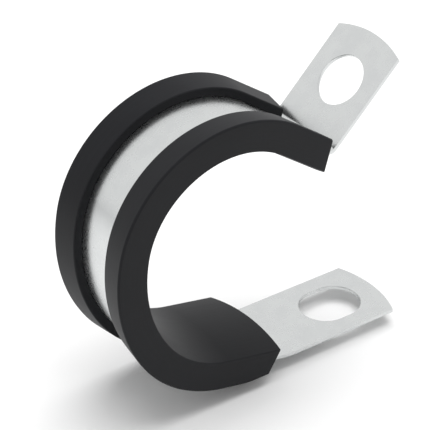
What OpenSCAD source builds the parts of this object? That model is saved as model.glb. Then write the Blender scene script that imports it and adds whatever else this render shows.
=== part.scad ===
// Cushioned P clip: one bent and punched steel strap, and the rubber cushion that
// is slid over its loop. The strap is described the way it is made, as a bend
// table that runs from the tip of the lower ear, round the loop, to the tip of
// the upper ear. Both pieces are swept along that one table.
// Origin: centre of the lower ear's slot, on the face that lies on the panel.
// +X runs along the lower ear to its tip, +Z away from the panel.

/* [Strap] */
// Width of the steel strap
strap_w = 19; // [14:0.5:25]
// Thickness of the steel strap
strap_t = 0.9; // [0.6:0.1:1.5]
// Radius of the arc that ends each ear
ear_end_r = 24; // [14:1:60]

/* [Lower ear] */
// Flat length of the lower ear, tip to first bend
lower_ear = 28; // [24:0.5:40]
// Width of the slot
slot_w = 11.5; // [6:0.5:12.5]
// Length of the slot, end to end
slot_l = 14; // [13:0.5:20]
// Distance from the ear's tip to the slot's centre
slot_inset = 11.8; // [11:0.1:14]

/* [Upper ear] */
// Flat length of the upper ear, last bend to tip
upper_ear = 23.5; // [20:0.5:40]
// Diameter of the bolt hole
hole_d = 11; // [5:0.5:13]
// Distance from the ear's tip to the hole's centre
hole_inset = 11.5; // [8:0.1:14]
// Angle between the open clip's two ears
ear_open = 45; // [20:1:70]

/* [Bend table] */
// Angle at which the loop's lower leg rises from the lower ear
leg_rise = 11.5; // [6:0.5:20]
// Bend radius between the lower ear and the leg, on the strap's middle
leg_bend_r = 15; // [6:1:25]
// Bare strap between that bend and the cushion
lower_neck = 5.3; // [3:0.1:10]
// Straight lower leg inside the cushion
lower_leg = 11.2; // [6:0.1:20]
// Radius at the bottom of the loop
bottom_r = 26; // [20:0.5:32]
// Angle turned at the bottom of the loop
bottom_turn = 45.5; // [35:0.5:50]
// Radius at the back of the loop
back_r = 33.5; // [26:0.5:42]
// Angle turned at the back of the loop
back_turn = 44; // [35:0.5:50]
// Radius over the top of the loop
top_r = 23.5; // [18:0.5:28]
// Angle turned over the top of the loop
top_turn = 115; // [105:0.5:120]
// Straight upper leg inside the cushion
upper_leg = 12; // [8:0.1:20]
// Bare strap between the cushion and the last bend
upper_neck = 0.9; // [0.8:0.1:6]
// Radius of the sharp bend into the upper ear, on the strap's middle
ear_bend_r = 1.5; // [1.2:0.1:4]

/* [Cushion] */
// Wall of rubber outside each edge of the strap
edge_wall = 2.2; // [1:0.1:4]
// Thickness of the pad at its edges, under the strap
pad_edge = 3.1; // [1.5:0.1:6]
// Rise of the pad's crown above its edges
pad_crown = 1.5; // [0.3:0.1:3]
// Height of each lip at the cushion's side, over the strap
lip_side = 2.7; // [1.5:0.1:5]
// Height of each lip at its free edge
lip_tip = 1.9; // [1:0.1:4]
// Width of the open channel between the two lips
lip_gap = 11; // [6:0.5:14]
// Slack all round the strap in the cushion's channel
channel_slack = 0.05; // [0.02:0.01:0.3]
// Slant of the cushion's ends, which lean in along the pad
end_slant = 20; // [0:1:30]
// Angle by which the cushion's ends are cut out of square
end_skew = 3.5; // [0:0.5:8]

/* [Hidden] */
$fn = 96;
punch = 1; // how far a cutter runs past the face that it cuts
bend_facet = 4; // most that the path turns between two stations
leg_facet = 3; // most that it runs straight between two stations
crown_facets = 4; // facets in each half of the pad's crown

// Bend table steps are [length] for a straight and [radius, angle] for a bend.
// A positive angle turns clockwise, towards the inside of the loop.
ear_turn = leg_rise + bottom_turn + back_turn + top_turn - (180 - ear_open);
foot = [[lower_ear], [leg_bend_r, leg_rise], [lower_neck]];
loop = [[lower_leg], [bottom_r, bottom_turn], [back_r, back_turn],
        [top_r, top_turn], [upper_leg]];
head = [[upper_neck], [ear_bend_r, -ear_turn], [upper_ear]];

half_t = strap_t / 2;
cushion_w = strap_w + 2 * edge_wall;
channel_half_t = half_t + channel_slack;
channel_half_w = strap_w / 2 + channel_slack;
crown_r = (pow(cushion_w / 2, 2) + pow(pad_crown, 2)) / (2 * pad_crown);
ear_sagitta = ear_end_r - sqrt(pow(ear_end_r, 2) - pow(strap_w / 2, 2));

// The station [x, y, heading] that lies a share of one step past another station
function past(at, s, share = 1) =
    len(s) == 1 ? at + s[0] * share * [cos(at.z), sin(at.z), 0] :
    let (turn = s[1] * share,
         dx = sign(s[1]) * s[0] * sin(turn),
         dy = -sign(s[1]) * s[0] * (1 - cos(turn)))
    [at.x + dx * cos(at.z) - dy * sin(at.z),
     at.y + dx * sin(at.z) + dy * cos(at.z), at.z - turn];

// Every station along a table, from the station at which it starts
function stations(steps, at = [0, 0, 0], i = 0) =
    i == len(steps) ? [at] :
    let (s = steps[i],
         n = len(s) == 1 ? ceil(s[0] / leg_facet) : ceil(abs(s[1]) / bend_facet))
    concat([for (k = [0 : n - 1]) past(at, s, k / n)],
           stations(steps, past(at, s), i + 1));

// The point that lies a distance outside the path at a station
function beside(at, out) = [at.x - out * sin(at.z), at.y + out * cos(at.z)];

function reversed(list) = [for (i = [len(list) - 1 : -1 : 0]) list[i]];

strap_path = stations(concat(foot, loop, head));
strap_end = strap_path[len(strap_path) - 1];
foot_path = stations(foot);
cushion_path = stations(loop, foot_path[len(foot_path) - 1]);

// Stands the table up on the panel: the loop's axis along Y, ear tip to +X
module upright() {
    translate([slot_inset, 0, half_t]) rotate([90, 0, 0]) mirror([1, 0, 0])
        mirror([0, 1, 0]) children();
}

module bent_strip() {
    linear_extrude(strap_w, center = true) polygon(concat(
        [for (at = strap_path) beside(at, half_t)],
        [for (at = reversed(strap_path)) beside(at, -half_t)]));
}

// What the blanking die cuts off an ear's tip, with the tip at X = 0
module tip_waste() {
    difference() {
        translate([-punch, -strap_t, -strap_w / 2 - punch])
            cube([ear_sagitta + punch, 2 * strap_t, strap_w + 2 * punch]);
        translate([ear_end_r, 0, 0]) rotate([90, 0, 0])
            cylinder(r = ear_end_r, h = 4 * strap_t, center = true);
    }
}

// A round punch through the strap
module round_punch(d) {
    rotate([90, 0, 0]) cylinder(d = d, h = strap_t + 2 * punch, center = true);
}

module slot_punch() {
    run = slot_l - slot_w;
    for (x = [-run / 2, run / 2]) translate([x, 0, 0]) round_punch(slot_w);
    cube([run, strap_t + 2 * punch, slot_w], center = true);
}

module metal_strap() {
    color("silver") upright() difference() {
        bent_strip();
        tip_waste();
        translate([slot_inset, 0, 0]) slot_punch();
        translate([strap_end.x, strap_end.y, 0]) rotate([0, 0, strap_end.z])
            mirror([1, 0, 0]) {
                tip_waste();
                translate([hole_inset, 0, 0]) round_punch(hole_d);
            }
    }
}

// How far the pad's crown rises above its edges at a distance across
function pad_rise(across) = sqrt(pow(crown_r, 2) - pow(across, 2)) - crown_r + pad_crown;
crown_shares = [for (k = [crown_facets : -1 : 0]) k / crown_facets];

// Half of the cushion's section as [outside, across] points, from a lip's free
// edge round to the pad's middle: first its skin, then the channel under it,
// point for point
half_skin = concat(
    [[half_t + lip_tip, lip_gap / 2], [half_t + lip_side, cushion_w / 2]],
    [for (k = crown_shares) let (across = k * cushion_w / 2)
        [-half_t - pad_edge - pad_rise(across), across]]);
half_channel = concat(
    [[channel_half_t, lip_gap / 2], [channel_half_t, channel_half_w]],
    [for (k = crown_shares) [-channel_half_t, k * channel_half_w]]);

function both_halves(half) = concat(
    [for (p = half) [p[0], -p[1]]],
    [for (i = [len(half) - 2 : -1 : 0]) half[i]]);

// The section's points at a station, moved along the path by the end's slant
// and skew. The lips lie pressed flat where they would stand below the ear.
function ring(at, section, slant, skew) = [
    for (p = section)
        let (q = beside(at, p[0]), along = p[0] * tan(slant) - p[1] * tan(skew))
        [q[0] + along * cos(at.z), min(q[1] + along * sin(at.z), half_t), p[1]]];

module rubber_cushion() {
    skin = both_halves(half_skin);
    section = concat(skin, reversed(both_halves(half_channel)));
    n = len(section);
    last = len(cushion_path) - 1;
    points = [for (i = [0 : last])
        each ring(cushion_path[i], section,
                  i == 0 ? end_slant : i == last ? -end_slant : 0,
                  i == 0 || i == last ? end_skew : 0)];
    walls = [for (i = [0 : last - 1], j = [0 : n - 1])
        let (a = i * n + j, b = i * n + (j + 1) % n)
        each [[a, b, b + n], [a, b + n, a + n]]];
    ends = [for (j = [0 : len(skin) - 2])
        let (a = j, b = j + 1, c = n - 2 - j, d = n - 1 - j, far = last * n)
        each [[a, c, b], [a, d, c],
              [a + far, b + far, c + far], [a + far, c + far, d + far]]];
    color("#2b2d31") upright() polyhedron(points, concat(walls, ends));
}

metal_strap();
rubber_cushion();
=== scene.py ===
# Cushioned P clip: a bent and punched steel strap with an extruded rubber channel on its loop.
import math
import bmesh
import bpy
from mathutils import Matrix, Vector


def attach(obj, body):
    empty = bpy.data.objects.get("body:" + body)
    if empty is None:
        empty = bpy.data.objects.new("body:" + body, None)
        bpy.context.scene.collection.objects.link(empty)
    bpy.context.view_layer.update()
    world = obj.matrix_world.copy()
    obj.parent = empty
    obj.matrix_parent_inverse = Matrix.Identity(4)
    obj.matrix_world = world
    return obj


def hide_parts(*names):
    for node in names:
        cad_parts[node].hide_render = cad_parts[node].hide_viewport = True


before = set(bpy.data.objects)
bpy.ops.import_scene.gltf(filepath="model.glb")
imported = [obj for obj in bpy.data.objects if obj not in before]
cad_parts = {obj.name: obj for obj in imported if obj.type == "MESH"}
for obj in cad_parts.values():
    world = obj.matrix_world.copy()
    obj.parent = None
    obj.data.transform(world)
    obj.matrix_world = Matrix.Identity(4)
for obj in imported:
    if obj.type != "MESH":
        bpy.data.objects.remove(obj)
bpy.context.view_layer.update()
mm = 0.001
print("stage: frame loaded")

# Bend table in mm and degrees, from the lower ear's tip to the upper ear's. A bend is
# (radius, angle), and a positive angle turns towards the inside of the loop.
bends = {
    "slotInset": 11.8,  # the origin is at the slot's centre
    "lowerEar": 28.0,
    "legBend": (15.0, 11.5),
    "lowerNeck": 5.3,  # bare strap up to the cushion
    "lowerLeg": 11.2,
    "bottom": (26.0, 45.5),
    "back": (33.5, 44.0),
    "top": (23.5, 115.0),
    "upperLeg": 12.0,
    "upperNeck": 0.9,
    "earBend": (1.5, -81.0),
    "upperEar": 23.5,
}

strap = {
    "width": 19.0,
    "thickness": 0.9,
    "earEndRadius": 24.0,
    "slot": (14.0, 11.5),  # length, width
    "holeRadius": 5.5,
    "holeInset": 11.5,
    "rolledEdge": 0.16,  # where the punch went in
    "sheared": 0.05,  # where it came out
    "turnPerStrip": 1.5,
    "longestStrip": 4.0,
    "earEndParts": 24,
    "slotEndParts": 32,
    "holeParts": 72,
    "sharpAngle": 42,
}

cushion = {
    "edgeWall": 2.2,
    "padEdge": 3.1,
    "padCrown": 1.5,
    "lipSide": 2.7,
    "lipTip": 1.9,
    "lipGap": 11.0,
    "slack": 0.05,
    "slant": 20.0,
    "skew": 3.5,
    "cornerRadius": 0.45,
    "lipRadius": 0.35,
    "lipFootRadius": 0.08,
    "padRadius": 0.3,
    "cutEdge": 0.12,  # worn edge of the sawn ends
    "endReach": 3.0,  # from each end to the first square ring
    "turnPerRing": 1.5,
    "longestRing": 1.5,
    "cornerParts": 4,
    "crownParts": 16,
    "sharpAngle": 32,
    "endStretch": 7,  # of the grain where an end is cut across it
}


class bendPath:  # the strap's middle line in the loop's plane
    fewestCuts = 8  # in any bend

    def __init__(self, table, halfThickness):
        x, z, turn, run = table["slotInset"], halfThickness, 0.0, 0.0
        self.steps, self.starts = [], {}
        for name, step in table.items():
            if name == "slotInset":
                continue
            radius, angle = step if isinstance(step, tuple) else (0.0, 0.0)
            length = abs(radius * math.radians(angle)) if radius else step
            self.steps.append((run, length, x, z, turn, radius, math.copysign(1, angle)))
            self.starts[name] = run
            run += length
            x, z, turn = self.station(run)
        self.length = run

    def station(self, run):  # place and rise angle after a length of strap
        start, length, x, z, turn, radius, side = next(
            (step for step in reversed(self.steps) if run >= step[0] - 1e-9), self.steps[0])
        past = run - start
        if not radius:
            return x - past * math.cos(turn), z + past * math.sin(turn), turn
        after = turn + side * past / radius
        centreX, centreZ = x + side * radius * math.sin(turn), z + side * radius * math.cos(turn)
        return (centreX - side * radius * math.sin(after),
                centreZ - side * radius * math.cos(after), after)

    def place(self, run, across, out):  # out is towards the outside of the loop
        x, z, turn = self.station(run)
        return Vector((x - out * math.sin(turn), across, z - out * math.cos(turn))) * mm

    def cuts(self, turnPerCut, straightCut):  # lengths at which a mesh needs an edge across
        found = []
        for start, length, x, z, turn, radius, side in self.steps:
            parts = math.ceil(length / straightCut)
            if radius:
                parts = max(self.fewestCuts, math.ceil(math.degrees(length / radius) / turnPerCut))
            found += [start + length * part / parts for part in range(parts)]
        return found + [self.length]


path = bendPath(bends, strap["thickness"] / 2)


def offsetLoop(points, inset):  # a closed loop, moved to the left of its own direction
    moved = []
    for i, point in enumerate(points):
        before, after = Vector(points[i - 1]), Vector(points[(i + 1) % len(points)])
        here = Vector(point)
        first, second = (here - before).normalized(), (after - here).normalized()
        left = Vector((-first.y - second.y, first.x + second.x)).normalized()
        moved.append(here + left * inset / max(0.3, left.dot(Vector((-first.y, first.x)))))
    return moved


def finishMesh(name, bm, sharpAngle, material):
    bmesh.ops.recalc_face_normals(bm, faces=bm.faces)
    mesh = bpy.data.meshes.new(name)
    bm.to_mesh(mesh)
    bm.free()
    mesh.shade_smooth()
    mesh.set_sharp_from_angle(angle=math.radians(sharpAngle))
    piece = bpy.data.objects.new(name, mesh)
    bpy.context.scene.collection.objects.link(piece)
    bpy.context.view_layer.objects.active = piece
    weighted = piece.modifiers.new("weighted", "WEIGHTED_NORMAL")
    weighted.keep_sharp = True
    bpy.ops.object.modifier_apply(modifier=weighted.name)
    mesh.materials.append(material)
    return piece


def arcPoints(centre, radius, first, last, parts):
    steps = [math.radians(first + (last - first) * i / parts) for i in range(parts + 1)]
    return [(centre[0] + radius * math.cos(a), centre[1] + radius * math.sin(a)) for a in steps]


def blankLoops():  # the flat blank's outline, slot and hole, each anticlockwise
    radius, half = strap["earEndRadius"], strap["width"] / 2
    swing = math.degrees(math.asin(half / radius))
    endParts, slotParts = strap["earEndParts"], strap["slotEndParts"]
    outline = arcPoints((path.length - radius, 0), radius, -swing, swing, endParts)
    outline += arcPoints((radius, 0), radius, 180 - swing, 180 + swing, endParts)
    slotLength, slotWidth = strap["slot"]
    slotCentre, run = bends["slotInset"], (slotLength - slotWidth) / 2
    slot = arcPoints((slotCentre + run, 0), slotWidth / 2, -90, 90, slotParts)
    slot += arcPoints((slotCentre - run, 0), slotWidth / 2, 90, 270, slotParts)
    holeCentre = (path.length - strap["holeInset"], 0)
    hole = arcPoints(holeCentre, strap["holeRadius"], 0, 360, strap["holeParts"])[:-1]
    return [(outline, 1), (slot, -1), (hole, -1)]


def makeStrap(material):
    half, rolled, sheared = strap["thickness"] / 2, strap["rolledEdge"], strap["sheared"]
    profile = []  # inset from the nominal edge and height, from the outside face to the inside
    for angle in (0, 30, 60, 90):
        a = math.radians(angle)
        profile.append((rolled * (1 - math.sin(a)), half - rolled * (1 - math.cos(a))))
    for angle in (90, 45, 0):
        a = math.radians(angle)
        profile.append((sheared * (1 - math.sin(a)), -half + sheared * (1 - math.cos(a))))
    bm = bmesh.new()
    faceEdges = ([], [])
    for loop, side in blankLoops():
        rings = []
        for inset, height in profile:
            rings.append([bm.verts.new((p.x, p.y, height)) for p in offsetLoop(loop, side * inset)])
        count = len(loop)
        for upper, lower in zip(rings, rings[1:]):
            for i in range(count):
                j = (i + 1) % count
                bm.faces.new((upper[i], upper[j], lower[j], lower[i]))
        for edges, ring in zip(faceEdges, (rings[0], rings[-1])):
            edges += [bm.edges.get((ring[i], ring[(i + 1) % count])) for i in range(count)]
    for edges in faceEdges:
        bmesh.ops.triangle_fill(bm, use_beauty=True, edges=edges)
    for run in path.cuts(strap["turnPerStrip"], strap["longestStrip"])[1:-1]:
        bmesh.ops.bisect_plane(bm, geom=bm.verts[:] + bm.edges[:] + bm.faces[:],
                               plane_co=(run, 0, 0), plane_no=(1, 0, 0), dist=1e-5)
    strip = bm.loops.layers.uv.new("strip")  # mm along and across the strip
    for face in bm.faces:
        for loop in face.loops:
            loop[strip].uv = loop.vert.co.xy
    for vert in bm.verts:
        vert.co = path.place(vert.co.x, vert.co.y, vert.co.z)
    return finishMesh("bentStrap", bm, strap["sharpAngle"], material)


def filleted(corners):  # (out, across, radius) corners of a closed outline, with round ones
    outline = []
    for i, (out, across, radius) in enumerate(corners):
        here = Vector((out, across))
        if not radius:
            outline.append(here)
            continue
        before = (Vector(corners[i - 1][:2]) - here).normalized()
        after = (Vector(corners[(i + 1) % len(corners)][:2]) - here).normalized()
        half = before.angle(after) / 2
        centre = here + (before + after).normalized() * radius / math.sin(half)
        first = here + before * radius / math.tan(half) - centre
        last = here + after * radius / math.tan(half) - centre
        swing = first.angle_signed(last)
        for part in range(cushion["cornerParts"] + 1):
            turned = -swing * part / cushion["cornerParts"]
            outline.append(centre + Vector((first.x * math.cos(turned) - first.y * math.sin(turned),
                                            first.x * math.sin(turned) + first.y * math.cos(turned))))
    return outline


def cushionOutline():
    half = strap["thickness"] / 2
    wide = strap["width"] / 2 + cushion["edgeWall"]
    rise = cushion["padCrown"]
    radius = (wide * wide + rise * rise) / (2 * rise)
    channelOut, channelWide = half + cushion["slack"], strap["width"] / 2 + cushion["slack"]
    side = [
        (channelOut, channelWide, 0),
        (channelOut, cushion["lipGap"] / 2, cushion["lipFootRadius"]),
        (half + cushion["lipTip"], cushion["lipGap"] / 2, cushion["lipRadius"]),
        (half + cushion["lipSide"], wide, cushion["cornerRadius"]),
        (-half - cushion["padEdge"], wide, cushion["padRadius"]),
    ]
    crown = []
    parts = cushion["crownParts"]
    for i in range(1, parts):
        across = wide * (1 - 2 * i / parts)
        sag = radius - math.sqrt(radius ** 2 - across ** 2)
        crown.append((-half - cushion["padEdge"] - rise + sag, across, 0))
    otherSide = [(out, -across, r) for out, across, r in reversed(side)]
    floor = [(-channelOut, -channelWide, 0), (-channelOut, channelWide, 0)]
    return filleted(side + crown + otherSide + floor)


def makeCushion(material):
    outline = cushionOutline()
    start, end = path.starts["lowerLeg"], path.starts["upperNeck"]
    slant, skew = (math.tan(math.radians(cushion[name])) for name in ("slant", "skew"))
    worn, reach = cushion["cutEdge"], cushion["endReach"]
    halfWorn = 0.3 * worn  # place and inset halfway round the worn edge
    rings = [(start, 1, 0.0, worn), (start, 1, halfWorn, halfWorn), (start, 1, worn, 0.0)]
    rings += [(run, 0, 0.0, 0.0) for run in path.cuts(cushion["turnPerRing"], cushion["longestRing"])
              if start + reach < run < end - reach]
    rings += [(end, -1, -worn, 0.0), (end, -1, -halfWorn, halfWorn), (end, -1, 0.0, worn)]
    perimeter = [0.0]
    for before, after in zip(outline, outline[1:] + outline[:1]):
        perimeter.append(perimeter[-1] + (after - before).length)
    bm = bmesh.new()
    made = []
    for run, lean, shift, inset in rings:  # lean is 1 at the lower end, -1 at the upper end
        x, z, turn = path.station(run)
        section = offsetLoop(outline, inset) if inset else outline
        ring = []
        for out, across in section:
            if math.cos(turn) > 0.5:  # pressed flat where it would stand below the ear
                room = z + shift * math.sin(turn) + abs(lean) * across * skew * math.sin(turn)
                out = min(out, room / (math.cos(turn) - lean * slant * math.sin(turn)))
            along = shift + lean * out * slant + abs(lean) * across * skew
            ring.append(bm.verts.new(path.place(run + along, across, out)))
        made.append(ring)
    run = bm.loops.layers.uv.new("run")  # mm along and round the extrusion
    count = len(outline)
    for (before, beforeRun), (after, afterRun) in zip(
            zip(made, [r[0] for r in rings]), zip(made[1:], [r[0] for r in rings[1:]])):
        for i in range(count):
            j = (i + 1) % count
            face = bm.faces.new((before[i], before[j], after[j], after[i]))
            places = ((beforeRun, perimeter[i]), (beforeRun, perimeter[i + 1]),
                      (afterRun, perimeter[i + 1]), (afterRun, perimeter[i]))
            for loop, place in zip(face.loops, places):
                loop[run].uv = place
    for ring in (made[0], made[-1]):
        places = dict(zip(ring, outline))
        edges = [bm.edges.get((ring[i], ring[(i + 1) % count])) for i in range(count)]
        for face in bmesh.ops.triangle_fill(bm, use_beauty=True, edges=edges)["geom"]:
            if isinstance(face, bmesh.types.BMFace):
                for loop in face.loops:
                    out, across = places[loop.vert]
                    loop[run].uv = (out * cushion["endStretch"], across)
    return finishMesh("extrudedCushion", bm, cushion["sharpAngle"], material)


class wire:  # one output of a shader node, which sums and products take like a number
    def __init__(self, tree, socket=None):
        self.tree, self.socket = tree, socket

    def node(self, kind, settings=None, inputs=None, output=0):
        made = self.tree.nodes.new("ShaderNode" + kind)
        for name, value in (settings or {}).items():
            if name == "stops":
                while len(made.color_ramp.elements) < len(value):
                    made.color_ramp.elements.new(0.5)
                for element, (place, shade) in zip(made.color_ramp.elements, value):
                    element.position, element.color = place, shade
            else:
                setattr(made, name, value)
        for name, value in (inputs or {}).items():
            if isinstance(value, wire):
                self.tree.links.new(value.socket, made.inputs[name])
            else:
                made.inputs[name].default_value = value
        return wire(self.tree, made.outputs[output])

    def maths(self, operation, first, second):
        return self.node("Math", {"operation": operation}, {0: first, 1: second})

    def __add__(self, other): return self.maths("ADD", self, other)
    def __radd__(self, other): return self.maths("ADD", other, self)
    def __sub__(self, other): return self.maths("SUBTRACT", self, other)
    def __rsub__(self, other): return self.maths("SUBTRACT", other, self)
    def __mul__(self, other): return self.maths("MULTIPLY", self, other)
    def __rmul__(self, other): return self.maths("MULTIPLY", other, self)

    def tint(self, first, second):  # from one colour to another as the wire goes from 0 to 1
        return self.node("Mix", {"data_type": "RGBA"}, {0: self, 6: first, 7: second}, 2)

    def between(self, low, high):  # smooth step from 0 at low to 1 at high
        return self.node("MapRange", {"interpolation_type": "SMOOTHSTEP"},
                         {"Value": self, "From Min": low, "From Max": high})


def newMaterial(name):
    material = bpy.data.materials.new(name)
    material.use_nodes = True
    return material, wire(material.node_tree), material.node_tree.nodes["Principled BSDF"]


def join(source, socket):
    source.tree.links.new(source.socket, socket)


zinc = {
    "light": (0.665, 0.68, 0.675, 1),
    "dark": (0.615, 0.628, 0.63, 1),
    "leastRoughness": 0.22,
    "roughnessSpread": 0.1,
    "patch": 260.0,  # patches to a metre
    "patchEdges": (0.3, 0.72),
    "grain": 2200.0,
    "grainShare": 0.25,  # of the colour's change
    "rollingStretch": (0.25, 6.0, 1.0),  # along and across the strip
    "bump": 0.06,
    "bumpHeight": 0.0002,
}


def zincPlate():
    material, base, shader = newMaterial("zincPlate")
    coords = base.node("TexCoord", output="Object")
    patches = base.node("TexNoise", {}, {"Vector": coords, "Scale": zinc["patch"], "Detail": 4.0,
                                         "Roughness": 0.6})
    grain = base.node("TexNoise", {}, {"Vector": coords, "Scale": zinc["grain"], "Detail": 2.0})
    strip = base.node("UVMap", {"uv_map": "strip"})
    rolled = base.node("Mapping", {}, {"Vector": strip, "Scale": zinc["rollingStretch"]})
    lines = base.node("TexNoise", {}, {"Vector": rolled, "Scale": 1.0, "Detail": 3.0})
    share = zinc["grainShare"]
    shade = patches.between(*zinc["patchEdges"]) * (1 - share) + grain * share
    join(shade.tint(zinc["dark"], zinc["light"]), shader.inputs["Base Color"])
    join(zinc["leastRoughness"] + patches * zinc["roughnessSpread"], shader.inputs["Roughness"])
    bump = base.node("Bump", {}, {"Height": grain * 0.6 + lines * 0.4, "Strength": zinc["bump"],
                                  "Distance": zinc["bumpHeight"]})
    join(bump, shader.inputs["Normal"])
    shader.inputs["Metallic"].default_value = 1.0
    return material


rubberLook = {
    "dark": (0.0034, 0.0037, 0.005, 1),
    "light": (0.009, 0.0094, 0.0115, 1),
    "leastRoughness": 0.45,
    "roughnessSpread": 0.12,
    "gloss": 0.22,
    "bloom": 90.0,  # patches to a metre
    "speck": 1500.0,
    "drawnStretch": (0.06, 3.2, 1.0),  # along and round the extrusion
    "bump": 0.25,
    "bumpHeight": 0.0001,
}


def extrudedRubber():
    material, base, shader = newMaterial("extrudedRubber")
    coords = base.node("TexCoord", output="Object")
    bloom = base.node("TexNoise", {}, {"Vector": coords, "Scale": rubberLook["bloom"],
                                       "Detail": 3.0})
    speck = base.node("TexNoise", {}, {"Vector": coords, "Scale": rubberLook["speck"], "Detail": 3.0,
                                       "Roughness": 0.7})
    along = base.node("UVMap", {"uv_map": "run"})
    drawn = base.node("Mapping", {}, {"Vector": along, "Scale": rubberLook["drawnStretch"]})
    streaks = base.node("TexNoise", {}, {"Vector": drawn, "Scale": 1.0, "Detail": 4.0,
                                         "Roughness": 0.65})
    shade = bloom.between(0.3, 0.75) * 0.35 + streaks.between(0.35, 0.7) * 0.4 + speck * 0.3
    join(shade.tint(rubberLook["dark"], rubberLook["light"]), shader.inputs["Base Color"])
    join(rubberLook["leastRoughness"] + streaks * rubberLook["roughnessSpread"],
         shader.inputs["Roughness"])
    bump = base.node("Bump", {}, {"Height": streaks * 0.5 + speck * 0.5,
                                  "Strength": rubberLook["bump"],
                                  "Distance": rubberLook["bumpHeight"]})
    join(bump, shader.inputs["Normal"])
    shader.inputs["Specular IOR Level"].default_value = rubberLook["gloss"]
    return material


strapPiece = makeStrap(zincPlate())
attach(strapPiece, "root")
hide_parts("metal_strap")
print("stage: strap made, faces", len(strapPiece.data.polygons))

cushionPiece = makeCushion(extrudedRubber())
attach(cushionPiece, "root")
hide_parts("rubber_cushion")
print("stage: cushion made, faces", len(cushionPiece.data.polygons))

studio = {
    "floorSize": 6.0,
    "floorDrop": 3.0,  # the ear hangs a little above the floor
    "floorSeen": (0.97, 0.97, 0.97, 1),
    "floorThrows": (0.3, 0.3, 0.3, 1),  # what it gives back to the object's underside
    "worldFill": 0.56,
    "keySize": 0.6,
    "keyPower": 3.4,
    "keyFrom": (0.02, 0.03, 0.62),
    "keyAt": (-0.03, 0.0, 0.03),
}


def seenDirectly(base):  # 1 for what the lens or a reflection sees, 0 for light on surfaces
    rays = [base.node("LightPath", output=name)
            for name in ("Is Camera Ray", "Is Glossy Ray", "Is Transmission Ray")]
    return base.maths("MAXIMUM", base.maths("MAXIMUM", rays[0], rays[1]), rays[2])


def makeStudio():
    world = bpy.data.worlds.new("studio")
    bpy.context.scene.world = world
    world.use_nodes = True
    base = wire(world.node_tree)
    seen = seenDirectly(base)
    background = world.node_tree.nodes["Background"]
    background.inputs["Color"].default_value = (1, 1, 1, 1)
    join(studio["worldFill"] + (1 - studio["worldFill"]) * seen, background.inputs["Strength"])
    bpy.ops.mesh.primitive_plane_add(size=studio["floorSize"],
                                     location=(0, 0, -studio["floorDrop"] * mm))
    floor = bpy.context.object
    floor.name = "floor"
    material, paper, shader = newMaterial("paper")
    join(seenDirectly(paper).tint(studio["floorThrows"], studio["floorSeen"]),
         shader.inputs["Base Color"])
    shader.inputs["Roughness"].default_value = 1.0
    shader.inputs["Specular IOR Level"].default_value = 0.0
    floor.data.materials.append(material)
    light = bpy.data.lights.new("key", "AREA")
    light.shape = "DISK"
    light.size = studio["keySize"]
    light.energy = studio["keyPower"]
    key = bpy.data.objects.new("key", light)
    key.location = studio["keyFrom"]
    key.visible_glossy = False  # metal shows the plain white room instead
    key.rotation_euler = (Vector(studio["keyAt"]) - key.location).to_track_quat("-Z", "Y").to_euler()
    bpy.context.scene.collection.objects.link(key)


camera = {
    "azimuth": -34.827,
    "elevation": 33.052,
    "roll": -0.135,
    "distance": 415.2,
    "clip": (0.01, 20),
    "sensor": 36,
    "focal": 4.740930232558139,  # in sensor widths
    "aim": (-30.18, 0.0, 19.9),
    "slide": (-0.066, -12.563),  # how far the view is moved right and up
}


def makeCamera():
    a, e, r = (math.radians(camera[name]) for name in ("azimuth", "elevation", "roll"))
    right = Vector((math.cos(a), math.sin(a), 0))
    up = Vector((-math.sin(a) * math.sin(e), math.cos(a) * math.sin(e), math.cos(e)))
    back = Vector((math.sin(a) * math.cos(e), -math.cos(a) * math.cos(e), math.sin(e)))
    right, up = right * math.cos(r) + up * math.sin(r), up * math.cos(r) - right * math.sin(r)
    lens = bpy.data.cameras.new("camera")
    lens.sensor_width = camera["sensor"]
    lens.lens = camera["focal"] * camera["sensor"]
    lens.clip_start, lens.clip_end = camera["clip"]
    view = bpy.data.objects.new("camera", lens)
    bpy.context.scene.collection.objects.link(view)
    slideRight, slideUp = camera["slide"]
    place = Vector(camera["aim"]) - right * slideRight - up * slideUp + back * camera["distance"]
    view.matrix_world = Matrix((
        (right.x, up.x, back.x, place.x * mm), (right.y, up.y, back.y, place.y * mm),
        (right.z, up.z, back.z, place.z * mm), (0, 0, 0, 1)))
    bpy.context.scene.camera = view


makeStudio()
makeCamera()
bpy.context.scene.view_settings.view_transform = "Standard"
print("stage: studio and camera made")
